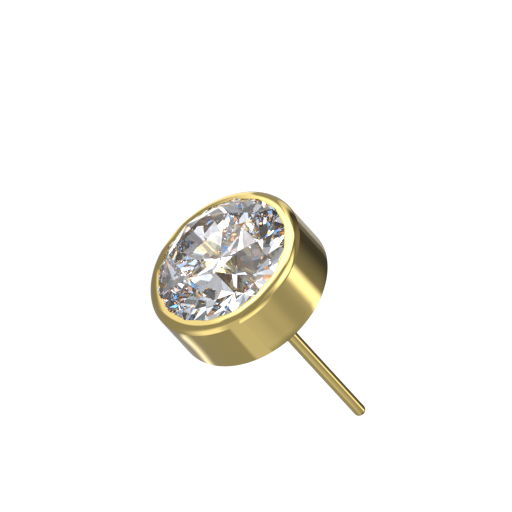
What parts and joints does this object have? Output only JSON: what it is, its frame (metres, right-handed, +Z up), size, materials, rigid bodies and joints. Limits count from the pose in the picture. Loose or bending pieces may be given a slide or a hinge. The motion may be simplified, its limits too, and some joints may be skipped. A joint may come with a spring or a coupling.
{
  "type": "threadless piercing top",
  "caption": "Round bezel-set brilliant stone in a polished gold-coloured cup with a rolled lip, on a plain straight pin that presses into a threadless piercing post.",
  "frame": {"origin": "middle of the whole piece's box, on the surface that it lies on", "axes": "+Y along the pin from the head to its tip, -Y the way the stone's table faces, +Z up from the surface that the round wall lies on"},
  "size_m": [0.005, 0.0088, 0.005],
  "materials": {
    "gold_metal": "polished",
    "clear_stone": "polished"
  },
  "bodies": {
    "root": {"setting": "gold_metal", "stone": "clear_stone"}
  },
  "joints": []
}
